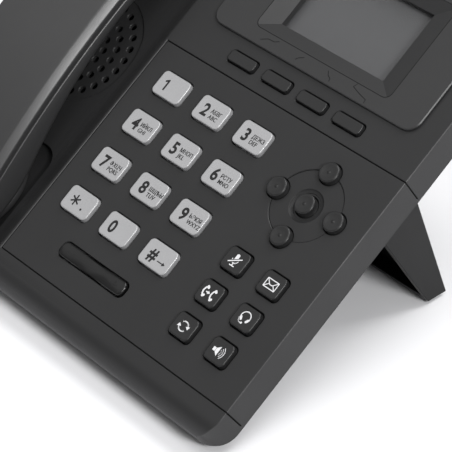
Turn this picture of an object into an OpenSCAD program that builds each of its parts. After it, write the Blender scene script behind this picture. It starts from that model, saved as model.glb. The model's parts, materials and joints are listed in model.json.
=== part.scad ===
// Desk IP phone standing on its folding bracket, with a corded-type handset in its cradle.
// The shapes are drawn in a face frame: x to the right, v up the face, n out of the face,
// with n = 0 on the flat deck. in_face() stands that frame on the table.

/* [Body] */
// Width of the housing
body_w = 180; // [176:1:188]
// Front edge of the face, measured along it from the row of keys 1 2 3
face_front = -87; // [-90:1:-86]
// Back edge of the face, measured the same way
face_back = 121; // [119:1:128]
// Depth of the side walls below the deck
side_d = 12; // [12:0.5:14]
// Corner radius of the housing seen from above
corner_r = 9; // [7:0.5:11]
// Wall thickness of the mouldings
wall = 2.2; // [1.8:0.1:2.6]
// Lean of the face from the table
tilt = 34.5; // [32:0.5:37]

/* [Keys] */
// Spacing of the number keys across
key_px = 19.5; // [19:0.1:20]
// Spacing of the number keys along the face
key_py = 16.25; // [15.5:0.05:17]
// Width of a number key
key_w = 13; // [12:0.1:14]
// Length of a number key
key_l = 9.2; // [8.6:0.1:10]
// Height of the number keys above the deck
key_h = 1.8; // [1.2:0.1:2.4]
// Gap around every button
key_gap = 0.35; // [0.25:0.05:0.5]
// Width of a function key
fn_w = 9; // [8.4:0.1:9.6]
// Length of a function key
fn_l = 8.2; // [7.6:0.1:8.8]
// Width of a soft key
soft_w = 12; // [11:0.1:13]
// Length of a soft key
soft_l = 4.3; // [3.8:0.1:5]
// Radius of a navigation button
nav_r = 3.6; // [3.2:0.1:4]
// Distance of the arrow buttons from the centre button
nav_ring = 12.5; // [12:0.1:13]

/* [Display] */
// Width of the sloping frame round the screen, at its rim
rim_w = 60.2; // [58:0.2:62]
// Height of the sloping frame, at its rim
rim_h = 37; // [35:0.2:38]
// Width of the visible screen
lcd_w = 46; // [44:0.5:48]
// Height of the visible screen
lcd_h = 27.1; // [26:0.1:28]

/* [Handset] */
// Width of the handset
hs_w = 42.4; // [40:0.2:44]
// Radius of the long arch of the handset's back
hs_arch_r = 364; // [340:2:400]
// Height of the arch's top above the deck
hs_top = 18.8; // [17:0.2:21]
// Length of the handset
hs_l = 196; // [190:1:198]

/* [Stand] */
// Width over the stand's cheeks
stand_w = 160; // [156:1:164]
// Thickness of the stand's walls
stand_t = 2.4; // [2:0.1:3]
// Thickness of the rubber feet
foot_t = 1.4; // [1:0.1:2]

/* [Hidden] */
$fn = 48;
half_w = body_w / 2;
face_mid = (face_front + face_back) / 2;
face_len = face_back - face_front;
deck_y = -17.8;                   // where the face frame's origin stands, along the table
seam = 0.3;                       // visible gap between two mouldings

key_x0 = -5;                      // centre of key 1
fn_x = [58.7, 74.9];              // columns of function keys
fn_v = [-36, -49.05, -62.05];     // rows of function keys
soft_x0 = 11.2;                   // first soft key
soft_px = 16.15;                  // spacing of the soft keys
soft_v = 20.05;                   // row of the soft keys
nav_x = 66.1;                     // centre of the navigation cluster
nav_v = -9.2;
nav_disc_r = 12.6;                // trim disc under the cluster
vol_x = 16;                       // centre of the volume rocker
vol_v = -63.85;
vol_w = 31;
vol_l = 5.3;
vol_pivot_n = -3.2;
flange_top = -2.3;                // keys are held under the deck by a flange
flange_bottom = -3.3;

plate_x0 = -19.8;                 // keypad plate, from its left edge to the side wall
plate_v0 = -75.5;                 // lower seam
plate_v1 = 13.15;                 // upper seam
plate_t = 2;

bezel_x = 35.55;                  // display bezel, centre and size
bezel_v = 65.6;
bezel_w = 92.3;
bezel_l = 77;
bezel_h = 1.2;                    // stands this far above the deck
screen_x = 36.3;                  // centre of the screen and of its frame
screen_v = 51.4;
rim_depth = 0.8;                  // foot of the sloping frame, below the deck
lens_top = -3.1;
lens_t = 0.9;

cradle_x = -54.5;                 // centre line of handset, cradle and loudspeaker
cradle_half = 33.5;
cradle_d = 7.6;
cradle_flat = 19;                 // half width of the cradle's flat floor
pocket_n = -10;                   // floor of the two cups
mouth_v = [-84.5, -38];           // cup for the mouthpiece
ear_v = [68, 114.5];              // cup for the earpiece
pocket_half = 22.4;
pocket_r = 7;
grille_v = -1;
grille_r = 22.4;
grille_n = -8.2;
grille_rings = [[5, 2.8, 0], [12, 7.9, 10], [19, 13, -1], [25, 18.2, 6.6]];
hs_mid = 15;                      // middle of the handset along the face
hs_under_r = 163;                 // arch under the grip
hs_under_n = 7;                   // and its top
hs_pad_n = -9.6;                  // lowest faces of ear and mouth ends
hs_cap = 5;                       // depth of the upper shell, parting line at its foot
hs_chamfer = 2.4;
hs_end_r = 15;
pad_r = 20;
pad_v = [-61, 91];
socket_n = -3.5;

belly_x = 74;                     // half width of the deep middle of the rear cover
belly_v0 = -64;
belly_n = -28;
belly_v1 = 104;
board_n = -13.6;                  // underside of the main board
jack_l = 19;
board_posts = [[-22, -20], [60, -20], [-22, 84], [60, 84]];
lan_x = [-6, 14];                 // two network jacks
dc_x = 33;                        // power jack
side_jack_v = [50, 64];           // handset and headset jacks in the belly's left wall
hook_v = 84;                      // hook switch, under the earpiece cup
hinge_v = 8;
hinge_n = -24.2;
pin_r = 2.5;
cheek_r = 9;                      // round top of the stand's cheeks
stand_in = stand_w / 2 - stand_t;
foot_front = [-1.8, -71.6];       // sole of the stand, front and back edges
foot_back = foot_front + 8.9 * [cos(tilt), -sin(tilt)];
foot_mid = (foot_front + foot_back) / 2;
front_foot_x = [-76, 76];
front_foot_v = -79;
screw_at = [[-82, -60], [60, -81], [-82, 104], [82, 104]];
stand_foot_x = [-62, 62];
deck_z = foot_t - foot_front[0] * sin(tilt) - foot_front[1] * cos(tilt);  // height of the origin

digits = ["1", "2", "3", "4", "5", "6", "7", "8", "9", "star", "0", "hash"];
functions = ["mute", "message", "transfer", "headset", "redial", "speaker"];

// ---- frames and shared shapes ----

// Stands the face frame on the table.
module in_face() {
    translate([0, deck_y, deck_z]) rotate([tilt, 0, 0]) children();
}

// Extrudes a profile drawn in (v, n) from x0 to x1.
module along_x(x0, x1) {
    translate([x0, 0, 0]) rotate([90, 0, 90]) linear_extrude(x1 - x0) children();
}

// Extrudes a profile drawn in (x, n) from v0 to v1.
module along_v(v0, v1) {
    translate([0, v1, 0]) rotate([90, 0, 0]) linear_extrude(v1 - v0) children();
}

// Extrudes a plan drawn in (x, v) from n0 to n1.
module up(n0, n1) {
    translate([0, 0, n0]) linear_extrude(n1 - n0) children();
}

// Rectangle with round corners, centred, from squares and circles.
module round_rect(w, l, r) {
    square([w - 2 * r, l], center = true);
    square([w, l - 2 * r], center = true);
    for (sx = [-1, 1], sy = [-1, 1])
        translate([sx * (w / 2 - r), sy * (l / 2 - r)]) circle(r);
}

// The same, from its lowest and highest edges.
module round_span(x0, x1, v0, v1, r) {
    translate([(x0 + x1) / 2, (v0 + v1) / 2]) round_rect(x1 - x0, v1 - v0, r);
}

// Block whose section shrinks from w0 by l0 at n0 to w1 by l1 at n1.
module taper(x, v, w0, l0, n0, w1, l1, n1) {
    intersection() {
        along_v(v - 60, v + 60)
            polygon([[x - w0 / 2, n0], [x + w0 / 2, n0], [x + w1 / 2, n1], [x - w1 / 2, n1]]);
        along_x(x - 60, x + 60)
            polygon([[v - l0 / 2, n0], [v + l0 / 2, n0], [v + l1 / 2, n1], [v - l1 / 2, n1]]);
    }
}

// Side profile of the housing, with its long round front edge, inset by i.
module side_profile(i) {
    r = 7 - i;
    translate([face_front + i + r, -i - r]) circle(r);
    translate([face_front + i + r, -side_d - 4]) square([face_len - 2 * i - r - 1, side_d + 4 - i]);
    translate([face_front + i, -side_d - 4]) square([2 * r, side_d + 4 - i - r]);
    translate([face_back - i - 2, -side_d - 4]) square([2, side_d + 4 - i - 1]);
}

// Solid housing, inset by i and cut off at depth d.
module housing(i, d) {
    intersection() {
        up(-d, 1) round_span(-half_w + i, half_w - i, face_front + i, face_back - i, corner_r - i);
        along_x(-half_w, half_w) side_profile(i);
    }
}

// Height of the cradle at distance t from its centre line.
function cradle_n(t) =
    t <= cradle_flat ? -cradle_d
    : -cradle_d * cos(90 * (t - cradle_flat) / (cradle_half - cradle_flat));

// Shallow trough of the cradle, grown outward by g.
module trough(g) {
    k = (cradle_half + g) / cradle_half;
    side = [for (j = [0 : 5]) cradle_flat + (cradle_half - cradle_flat) * j / 5];
    right = [for (t = side) [cradle_x + k * t, cradle_n(t) - g]];
    left = [for (j = [5 : -1 : 0]) [cradle_x - k * side[j], cradle_n(side[j]) - g]];
    along_v(-102 - g, 118 + g)
        polygon(concat(right, [[cradle_x + k * cradle_half, 6],
                               [cradle_x - k * cradle_half, 6]], left));
}

// Plan of the two cups that hold the ends of the handset, grown by g.
module cup_plan(g) {
    for (c = [mouth_v, ear_v])
        round_span(cradle_x - pocket_half - g, cradle_x + pocket_half + g,
                   c[0] - g, c[1] + g, pocket_r + g);
}

// Four rings of round holes in the loudspeaker grille.
module grille_holes() {
    for (ring = grille_rings, k = [0 : 24])
        if (k < ring[0])
            rotate([0, 0, k * 360 / ring[0] + ring[2]]) translate([ring[1], 0]) circle(1.25);
}

// ---- housing ----

module front_shell() {
    color([0.09, 0.09, 0.095]) in_face() {
        difference() {
            housing(0, side_d);
            // inside, leaving the cradle's own skin
            difference() {
                housing(wall, side_d + 1);
                intersection() {
                    trough(1.8);
                    along_x(cradle_x - cradle_half - 2, cradle_x + cradle_half + 2)
                        translate([face_front, -side_d]) square([face_len, side_d + 2]);
                }
                up(pocket_n - 1.6, 0) cup_plan(1.8);
                up(grille_n - 1.6, 0) translate([cradle_x, grille_v]) circle(grille_r + 1.6);
            }
            intersection() {
                trough(0);
                up(-20, 5) round_span(cradle_x - 36, cradle_x + 36, -84.5, 114.5, 12);
            }
            up(pocket_n, 5) cup_plan(0);
            up(grille_n, 5) translate([cradle_x, grille_v]) circle(grille_r, $fn = 96);
            up(-20, 5) translate([cradle_x, grille_v]) grille_holes();
            // opening under the keypad plate, with a ledge round it
            up(-plate_t - 0.05, 5)
                square_span(plate_x0 - seam, half_w + 5, plate_v0 - seam, plate_v1 + seam);
            up(-20, 5) square_span(plate_x0 + 3, half_w - 5, plate_v0 + 2, plate_v1 - 3);
            up(-side_d - 1, 5)
                square_span(half_w - wall - 0.05, half_w + 5, plate_v0 - seam, plate_v1 + seam);
            // soft keys, display, lamp, hook, hanging tab
            for (k = [0 : 3])
                up(-20, 5) translate([soft_x0 + k * soft_px, soft_v])
                    round_rect(soft_w + 2 * key_gap, soft_l + 2 * key_gap, 1.5);
            up(-20, 5) translate([bezel_x, bezel_v]) round_rect(bezel_w - 3, bezel_l - 3, 3.6);
            up(-20, 5) translate([76, 112]) round_rect(21, 4.6, 2);
            up(-20, 5) translate([cradle_x, hook_v]) round_rect(6.6, 4.6, 1);
            up(-20, 5) translate([cradle_x, 117.3]) round_rect(9.4, 2.6, 0.8);
            // notch where the handset's cord would leave the cup
            up(-7.2, 5) square_span(cradle_x - 5, cradle_x + 5, face_front - 1, mouth_v[0] + 1);
        }
        plate_ledge();
        screw_bosses();
    }
}

// Frame under the deck that the keypad plate sits on.
module plate_ledge() {
    difference() {
        up(-4, -plate_t - 0.05)
            square_span(plate_x0 - 3, half_w - wall - 0.05, plate_v0 - 3, plate_v1 + 2.5);
        up(-5, 0) square_span(plate_x0 + 3, half_w - 5, plate_v0 + 2, plate_v1 - 3);
    }
}

// Bosses under the deck that take the housing screws.
module screw_bosses() {
    difference() {
        intersection() {
            housing(0.8, side_d);
            screw_places() cylinder(r = 3.5, h = 14);
        }
        screw_places() cylinder(r = 1.45, h = 7.6);
        trough(1);
    }
}

// Rectangle from its lowest and highest edges.
module square_span(x0, x1, v0, v1) {
    translate([x0, v0]) square([x1 - x0, v1 - v0]);
}

module keypad_plate() {
    color([0.1, 0.1, 0.105]) in_face() {
        difference() {
            union() {
                intersection() {
                    up(-plate_t, 0) square_span(plate_x0, half_w, plate_v0, plate_v1);
                    housing(0, side_d);
                }
                up(-side_d, -plate_t / 2)
                    square_span(half_w - wall + 0.15, half_w, plate_v0, plate_v1);
                // bearings of the volume rocker
                up(vol_pivot_n - 1.2, -plate_t + 0.1) translate([vol_x, vol_v])
                    square([3.4, vol_l + 3.4], center = true);
            }
            up(-9, 0) translate([vol_x, vol_v]) square([4, vol_l + 2 * key_gap], center = true);
            translate([vol_x, vol_v, vol_pivot_n]) rotate([90, 0, 0])
                cylinder(r = 0.75, h = 20, center = true);
            for (r = [0 : 3], c = [0 : 2])
                up(-9, 5) translate([key_x0 + c * key_px, -r * key_py])
                    round_rect(key_w + 2 * key_gap, key_l + 2 * key_gap, 2.1);
            for (x = fn_x, v = fn_v)
                up(-9, 5) translate([x, v])
                    round_rect(fn_w + 2 * key_gap, fn_l + 2 * key_gap, 1.8);
            up(-9, 5) translate([vol_x, vol_v])
                round_rect(vol_w + 3 * key_gap, vol_l + 2 * key_gap, 2.2);
            up(-0.9, 5) translate([nav_x, nav_v]) circle(nav_disc_r + 0.1);
            nav_bores();
        }
    }
}

// Holes for the five navigation buttons.
module nav_bores() {
    for (p = concat([[0, 0]], [for (a = [0 : 90 : 270]) nav_ring * [cos(a), sin(a)]]))
        translate([nav_x + p[0], nav_v + p[1], -9]) cylinder(r = nav_r + key_gap, h = 14);
}

module nav_disc() {
    color([0.1, 0.1, 0.105]) in_face() {
        difference() {
            translate([nav_x, nav_v, -0.9])
                rotate_extrude($fn = 96)
                    polygon([[nav_r + 1, 0], [nav_disc_r, 0], [nav_disc_r, 0.55],
                             [5.9, 0.75], [5.7, 0.45], [nav_r + 1, 0.2]]);
            nav_bores();
        }
    }
}

module display_bezel() {
    color([0.12, 0.12, 0.125]) in_face() {
        difference() {
            union() {
                up(0, bezel_h) translate([bezel_x, bezel_v]) round_rect(bezel_w, bezel_l, 5);
                up(-wall - 1.6, 0.1) translate([bezel_x, bezel_v])
                    round_rect(bezel_w - 3.4, bezel_l - 3.4, 3.4);
            }
            intersection() {
                taper(screen_x, screen_v, rim_w, rim_h, bezel_h, lcd_w, lcd_h, -rim_depth);
                up(-9, 5) translate([screen_x, screen_v]) round_rect(rim_w, rim_h, 2.4);
            }
            up(-9, 0) translate([screen_x, screen_v]) square([lcd_w, lcd_h], center = true);
            up(-9, lens_top + 0.05) translate([screen_x, screen_v])
                square([lcd_w + 6.2, lcd_h + 6.2], center = true);
            // hollow behind the blank panel above the window
            up(-9, -1) square_span(bezel_x - 40, bezel_x + 40, 73, 100);
        }
    }
}

module display_lens() {
    color([0.5, 0.52, 0.55, 0.35]) in_face()
        up(lens_top - lens_t, lens_top) translate([screen_x, screen_v])
            round_rect(lcd_w + 6, lcd_h + 6, 1);
}

module lcd_panel() {
    color([0.36, 0.37, 0.37]) in_face()
        up(-6.4, -4.05) translate([screen_x, screen_v])
            square([lcd_w + 6, lcd_h + 6], center = true);
}

module lcd_frame() {
    color([0.75, 0.76, 0.76]) in_face()
        difference() {
            up(-8.4, -4.1) translate([screen_x, screen_v])
                square([lcd_w + 9, lcd_h + 9], center = true);
            up(-6.45, 0) translate([screen_x, screen_v])
                square([lcd_w + 6.1, lcd_h + 6.1], center = true);
        }
}

module rear_cover() {
    color([0.07, 0.07, 0.075]) in_face() {
        difference() {
            union() {
                up(-side_d - 2, -side_d)
                    round_span(-half_w + 0.7, half_w - 0.7, face_front + 0.7,
                               face_back - 0.7, corner_r - 0.7);
                along_x(-belly_x, belly_x)
                    polygon([[belly_v0, -side_d], [belly_v0, -side_d - 2.1], [-36, belly_n],
                             [belly_v1, belly_n], [belly_v1, -side_d]]);
            }
            along_x(-belly_x + wall, belly_x - wall)
                polygon([[-59, -side_d + 1], [-59, -side_d - 1.6], [-34.8, belly_n + wall],
                         [belly_v1 - wall, belly_n + wall], [belly_v1 - wall, -side_d + 1]]);
            for (x = lan_x)
                along_v(belly_v1 - 4, belly_v1 + 1)
                    translate([x, -19.7]) square([16.2, 12.2], center = true);
            translate([dc_x, belly_v1 + 1, -19.6]) rotate([90, 0, 0]) cylinder(r = 4.6, h = 5);
            for (v = side_jack_v)
                along_x(-belly_x - 1, -belly_x + 3)
                    translate([v, -19.6]) square([11.2, 10.2], center = true);
            hinge_line(belly_x) cylinder(r = pin_r + 0.06, h = 24, center = true);
            screw_places() cylinder(r = 1.6, h = 8, center = true);
            up(-20, 0) translate([36, -79]) circle(0.6);
            // slots that let the heat out
            for (k = [0 : 8])
                up(belly_n - 1, belly_n + wall + 1) translate([-40 + 10 * k, 46])
                    round_rect(2.6, 26, 1.2);
        }
        // bosses that carry the hinge pins
        difference() {
            hinge_line(belly_x - 5.5) cube([7, 9, 8], center = true);
            hinge_line(belly_x) cylinder(r = pin_r + 0.06, h = 24, center = true);
        }
        // posts for the main board
        for (p = board_posts)
            translate([p[0], p[1], belly_n + wall - 0.1])
                cylinder(r = 2.6, h = board_n - belly_n - wall);
    }
}

// Both ends of the stand's hinge line, at x0 either side, turned so that +Z runs along it.
module hinge_line(x0) {
    for (s = [-1, 1])
        translate([s * x0, hinge_v, hinge_n]) rotate([0, 90, 0]) children();
}

// Four screw places under the housing.
module screw_places() {
    for (p = screw_at) translate([p[0], p[1], -side_d - 1]) children();
}

module housing_screws() {
    color("silver") in_face()
        screw_places() {
            translate([0, 0, -2.6]) cylinder(r = 2.8, h = 1.6);
            translate([0, 0, -1.1]) cylinder(r = 1.4, h = 5.8);
        }
}

// ---- electronics ----

module main_board() {
    color([0.05, 0.3, 0.15]) in_face()
        difference() {
            up(board_n, board_n + 1.6) {
                square_span(-30, 68, -28, 100);
                square_span(-69, -29, 40, 74);
            }
            for (p = board_posts)
                translate([p[0], p[1], board_n - 1]) cylinder(r = 1.2, h = 4);
        }
}

module keypad_board() {
    color([0.05, 0.3, 0.15]) in_face() up(-7.6, -6) square_span(-15, 79, -71, 25);
}

module keypad_mat() {
    color([0.5, 0.5, 0.52]) in_face() {
        up(-5.9, -4.9) square_span(-14, 78, -70, 24);
        for (r = [0 : 3], c = [0 : 2])
            translate([key_x0 + c * key_px, -r * key_py, -5]) cylinder(r = 3, h = 0.35);
    }
}

module loudspeaker() {
    color([0.15, 0.15, 0.16]) in_face()
        translate([cradle_x, grille_v, grille_n - 1.8]) rotate([180, 0, 0])
            rotate_extrude($fn = 64)
                polygon([[0, 1.4], [11, 1.4], [14.5, 0], [16, 0], [16, 1.2],
                         [12, 4], [9, 4], [9, 9], [0, 9]]);
}

module hook_plunger() {
    color([0.09, 0.09, 0.095]) in_face() translate([cradle_x, hook_v]) {
        up(-18, pocket_n + 0.1) round_rect(6, 4, 0.8);
        up(-18.4, -16) square([8, 6], center = true);
    }
}

module hook_switch() {
    color([0.1, 0.1, 0.3]) in_face()
        up(-25.7, -18.8) translate([cradle_x, hook_v]) square([12, 9], center = true);
}

module network_jacks() {
    color([0.75, 0.76, 0.78]) in_face()
        for (x = lan_x)
            difference() {
                along_v(belly_v1 - jack_l, belly_v1 - 0.2)
                    translate([x, -19.7]) square([15.8, 11.8], center = true);
                along_v(belly_v1 - 13.5, belly_v1)
                    translate([x, -19.5]) square([12.4, 9.2], center = true);
            }
}

module handset_jacks() {
    color([0.12, 0.12, 0.12]) in_face()
        for (v = side_jack_v)
            difference() {
                along_x(-belly_x + 0.2, -belly_x + 14)
                    translate([v, -19.6]) square([10.8, 9.8], center = true);
                along_x(-belly_x, -belly_x + 11)
                    translate([v, -19.6]) square([8, 7.4], center = true);
            }
}

module power_jack() {
    color([0.08, 0.08, 0.08]) in_face()
        translate([dc_x, belly_v1 - 0.3, -19.6]) rotate([90, 0, 0]) {
            difference() {
                cylinder(r = 4.4, h = 13);
                translate([0, 0, -1]) cylinder(r = 3, h = 11);
            }
            cylinder(r = 0.95, h = 12);
        }
}

module base_microphone() {
    color([0.7, 0.7, 0.7]) in_face() translate([36, -79, -side_d + 0.1]) cylinder(r = 1.9, h = 1.6);
}

module message_lamp() {
    color([0.6, 0.12, 0.1]) in_face() {
        up(-3.4, 0.8) translate([76, 112]) round_rect(20.4, 4, 1.8);
        up(-4.6, -3.3) translate([76, 112]) round_rect(23, 5.4, 1);
    }
}

module hang_tab() {
    color([0.1, 0.1, 0.1]) in_face() up(-7, 0.5) translate([cradle_x, 117.3])
        round_rect(9, 2.2, 0.6);
}

// ---- feet and stand ----

module front_feet() {
    color([0.16, 0.16, 0.16])
        difference() {
            for (x = front_foot_x)
                translate([x, deck_y + front_foot_v * cos(tilt) + (side_d + 2) * sin(tilt), 0])
                    cylinder(r = 4.5, h = 12);
            in_face() up(-side_d - 2, 20) square_span(-half_w, half_w, -120, 0);
        }
}

// Side outline of the stand in (v, n): a leg under a round top.
module stand_outline() {
    translate([hinge_v, hinge_n]) circle(cheek_r, $fn = 96);
    polygon([[hinge_v - cheek_r, hinge_n], foot_front, foot_back, [hinge_v + cheek_r, hinge_n]]);
}

module stand_bracket() {
    color([0.1, 0.1, 0.1]) in_face() {
        difference() {
            along_x(-stand_w / 2, stand_w / 2) stand_outline();
            // hollow, open at the front and at the top
            along_x(-stand_in, stand_in)
                polygon([[-25, -52.4], [-0.4, -69.6], [3.9, -72.7], [12, -36],
                         [40, -36], [40, -10], [-25, -10]]);
            hinge_line(belly_x + 4) cylinder(r = pin_r + 0.02, h = 20, center = true);
        }
        // arms inside the cheeks that reach the belly
        difference() {
            hinge_line((belly_x + 0.5 + stand_in) / 2)
                cylinder(r = 4.6, h = stand_in - belly_x - 0.4, center = true);
            hinge_line(belly_x + 4) cylinder(r = pin_r + 0.02, h = 20, center = true);
        }
    }
}

module stand_hinge_pins() {
    color("silver") in_face()
        hinge_line(stand_w / 2 - 8.5) cylinder(r = pin_r, h = 15, center = true);
}

module stand_feet() {
    color([0.45, 0.45, 0.45])
        for (x = stand_foot_x)
            translate([x, deck_y + foot_mid[0] * cos(tilt) - foot_mid[1] * sin(tilt), foot_t / 2])
                cube([12, 6, foot_t], center = true);
}

// ---- handset ----

// Ring section swept along the handset's long arch, drawn in (radius, x).
module arch_sweep() {
    translate([cradle_x, hs_mid, hs_top - hs_arch_r])
        rotate([90, 0, 90]) rotate([0, 0, 72])
            rotate_extrude(angle = 36, $fn = 360) children();
}

// Plan of the handset, inset by i.
module handset_plan(i) {
    translate([cradle_x, hs_mid]) round_rect(hs_w - 2 * i, hs_l - 2 * i, hs_end_r - i);
}

module handset_upper_shell() {
    color([0.11, 0.11, 0.115]) in_face()
        difference() {
            intersection() {
                arch_sweep()
                    polygon([[hs_arch_r - hs_cap, -hs_w / 2], [hs_arch_r - hs_chamfer, -hs_w / 2],
                             [hs_arch_r, -hs_w / 2 + hs_chamfer], [hs_arch_r, hs_w / 2 - hs_chamfer],
                             [hs_arch_r - hs_chamfer, hs_w / 2], [hs_arch_r - hs_cap, hs_w / 2]]);
                up(-30, 30) handset_plan(0);
            }
            intersection() {
                arch_sweep()
                    square_span(hs_arch_r - 9, hs_arch_r - 2.2, -hs_w / 2 + 2.6, hs_w / 2 - 2.6);
                up(-30, 30) handset_plan(2.6);
            }
        }
}

// Everything under the parting line, inset by i.
module handset_under(i) {
    intersection() {
        arch_sweep()
            square_span(hs_arch_r - 60, hs_arch_r - hs_cap - 0.25 + (i > 0 ? 1 : 0),
                        -hs_w / 2 + i, hs_w / 2 - i);
        up(hs_pad_n + i, 40) handset_plan(i);
        union() {
            difference() {
                up(-30, 40) square_span(cradle_x - 40, cradle_x + 40, -100, 130);
                translate([cradle_x, hs_mid, hs_under_n + i - hs_under_r])
                    rotate([0, 90, 0]) cylinder(r = hs_under_r, h = 90, center = true, $fn = 240);
            }
            for (v = pad_v)
                up(-30, 0) translate([cradle_x, v]) circle(pad_r - i);
        }
    }
}

module handset_lower_shell() {
    color([0.1, 0.1, 0.105]) in_face()
        difference() {
            handset_under(0);
            handset_under(2);
            for (k = [0 : 6])
                translate([cradle_x, pad_v[1], -20]) rotate([0, 0, k * 60])
                    translate([k == 6 ? 0 : 6, 0, 0]) cylinder(r = 1, h = 14);
            for (k = [-1 : 1])
                translate([cradle_x + 5 * k, pad_v[0], -20]) cylinder(r = 0.9, h = 14);
            along_v(-90, -76) translate([cradle_x, socket_n]) square([8, 6.8], center = true);
        }
}

module receiver_capsule() {
    color([0.2, 0.2, 0.2]) in_face()
        translate([cradle_x, pad_v[1], hs_pad_n + 2.2]) {
            cylinder(r = 16, h = 3);
            cylinder(r = 10, h = 6.5);
        }
}

module microphone_capsule() {
    color([0.7, 0.7, 0.72]) in_face()
        translate([cradle_x, pad_v[0], hs_pad_n + 2.2]) cylinder(r = 4.9, h = 4.6);
}

module handset_weight() {
    color([0.5, 0.5, 0.52]) in_face()
        up(9.4, 12.8) translate([cradle_x, hs_mid]) round_rect(26, 52, 3);
}

module handset_socket() {
    color([0.12, 0.12, 0.12]) in_face()
        difference() {
            along_v(-80.8, -69)
                translate([cradle_x, socket_n]) square([11, 8.1], center = true);
            along_v(-82, -71.5)
                translate([cradle_x, socket_n]) square([8, 6.8], center = true);
        }
}

// ---- buttons ----

// Cap with a retaining flange under the deck, centred on x, v.
module cap(x, v, w, l, r, h, bevel) {
    in_face() {
        up(flange_bottom, h - bevel) translate([x, v]) round_rect(w, l, r);
        up(h - bevel - 0.01, h) translate([x, v])
            round_rect(w - 2 * bevel, l - 2 * bevel, r - bevel);
        up(flange_bottom, flange_top) translate([x, v]) round_rect(w + 1.8, l + 1.8, r);
    }
}

module number_key(k) {
    color([0.75, 0.75, 0.75])
        cap(key_x0 + (k % 3) * key_px, -floor(k / 3) * key_py, key_w, key_l, 1.8, key_h, 0.4);
}

module function_key(k) {
    color([0.12, 0.12, 0.12])
        cap(fn_x[k % 2], fn_v[floor(k / 2)], fn_w, fn_l, 1.5, 1.3, 0.4);
}

module soft_key(k) {
    color([0.11, 0.11, 0.11])
        cap(soft_x0 + k * soft_px, soft_v, soft_w, soft_l, 1.2, 1, 0.3);
}

module nav_button(dx, dv) {
    color([0.1, 0.1, 0.1]) in_face()
        translate([nav_x + dx, nav_v + dv, 0])
            rotate_extrude()
                polygon([[0, flange_bottom], [nav_r + 0.9, flange_bottom],
                         [nav_r + 0.9, flange_top], [nav_r, flange_top], [nav_r, 1.3],
                         [nav_r - 0.6, 1.8], [1.6, 1.6], [0, 1.5]]);
}

module volume_rocker() {
    color([0.05, 0.05, 0.05]) in_face() {
        difference() {
            up(-2.9, 1) translate([vol_x, vol_v]) round_rect(vol_w, vol_l, 2);
            translate([vol_x, vol_v, 56.4]) rotate([90, 0, 0])
                cylinder(r = 56, h = 20, center = true, $fn = 240);
        }
        translate([vol_x, vol_v, vol_pivot_n]) {
            rotate([90, 0, 0]) cylinder(r = 0.7, h = vol_l + 4, center = true);
            cube([2.4, vol_l - 0.4, 1.4], center = true);
        }
    }
}

front_shell();
keypad_plate();
nav_disc();
display_bezel();
display_lens();
lcd_panel();
lcd_frame();
rear_cover();
main_board();
keypad_board();
keypad_mat();
loudspeaker();
hook_plunger();
hook_switch();
network_jacks();
handset_jacks();
power_jack();
message_lamp();
hang_tab();
base_microphone();
housing_screws();
front_feet();
stand_bracket();
stand_hinge_pins();
stand_feet();
handset_upper_shell();
handset_lower_shell();
receiver_capsule();
microphone_capsule();
handset_weight();
handset_socket();
for (k = [0 : 11])
    number_key(k);
for (k = [0 : 5])
    function_key(k);
for (k = [0 : 3])
    soft_key(k);
nav_button(0, nav_ring);  // nav_up
nav_button(0, -nav_ring);  // nav_down
nav_button(-nav_ring, 0);  // nav_left
nav_button(nav_ring, 0);  // nav_right
nav_button(0, 0);  // nav_ok
volume_rocker();
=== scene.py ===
# %% [markdown]
# # A desk IP phone on its folding stand
# The phone comes as a packed assembly whose parts are already in place and already move.
# This lesson gives each part its finish and remakes the parts that need softer shapes:
# the button caps, the handset and the printed legends. Nothing here moves a part.

# %% Load the frame
import json
import math

import bmesh
import bpy
from mathutils import Matrix, Vector


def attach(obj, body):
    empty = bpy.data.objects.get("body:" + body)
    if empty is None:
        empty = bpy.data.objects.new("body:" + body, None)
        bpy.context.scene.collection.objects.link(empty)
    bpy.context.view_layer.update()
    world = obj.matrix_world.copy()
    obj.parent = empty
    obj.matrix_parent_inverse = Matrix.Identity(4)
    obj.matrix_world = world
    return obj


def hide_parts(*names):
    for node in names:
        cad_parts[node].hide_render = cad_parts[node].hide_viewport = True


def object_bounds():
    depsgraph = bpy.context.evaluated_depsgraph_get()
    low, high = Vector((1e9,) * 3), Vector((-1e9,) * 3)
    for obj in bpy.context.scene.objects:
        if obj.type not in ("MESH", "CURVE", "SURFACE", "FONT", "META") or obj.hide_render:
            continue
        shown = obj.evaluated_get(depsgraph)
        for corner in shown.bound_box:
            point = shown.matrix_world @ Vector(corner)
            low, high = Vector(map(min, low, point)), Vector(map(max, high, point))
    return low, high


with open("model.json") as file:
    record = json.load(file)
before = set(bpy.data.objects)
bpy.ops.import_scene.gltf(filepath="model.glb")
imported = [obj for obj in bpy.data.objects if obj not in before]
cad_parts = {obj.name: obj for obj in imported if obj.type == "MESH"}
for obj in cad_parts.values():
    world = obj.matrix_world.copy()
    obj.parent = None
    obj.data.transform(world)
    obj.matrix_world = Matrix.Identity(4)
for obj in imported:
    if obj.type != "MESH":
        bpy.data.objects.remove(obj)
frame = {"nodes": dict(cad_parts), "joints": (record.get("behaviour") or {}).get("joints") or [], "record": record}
cad_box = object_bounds()
MM = 0.001

# %% [markdown]
# ## The face frame
# The face leans back on the stand, so it is easier to work in a frame that lies on it:
# u to the right, v up the face and n out of it, in millimetres, starting at key 1 on the
# deck. The handset lifts straight off the face, so that joint's axis gives n.

# %% Build the face frame from the parts
joints = {joint["name"]: joint for joint in frame["joints"]}
ACROSS = Vector((1, 0, 0))
OUT = Vector(joints["handset_lift"]["axis"]).normalized()
UP = OUT.cross(ACROSS)


def span(node, direction):
    """Lowest and highest reach of a node along a direction, in metres."""
    reach = [vertex.co.dot(direction) for vertex in frame["nodes"][node].data.vertices]
    return min(reach), max(reach)


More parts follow.
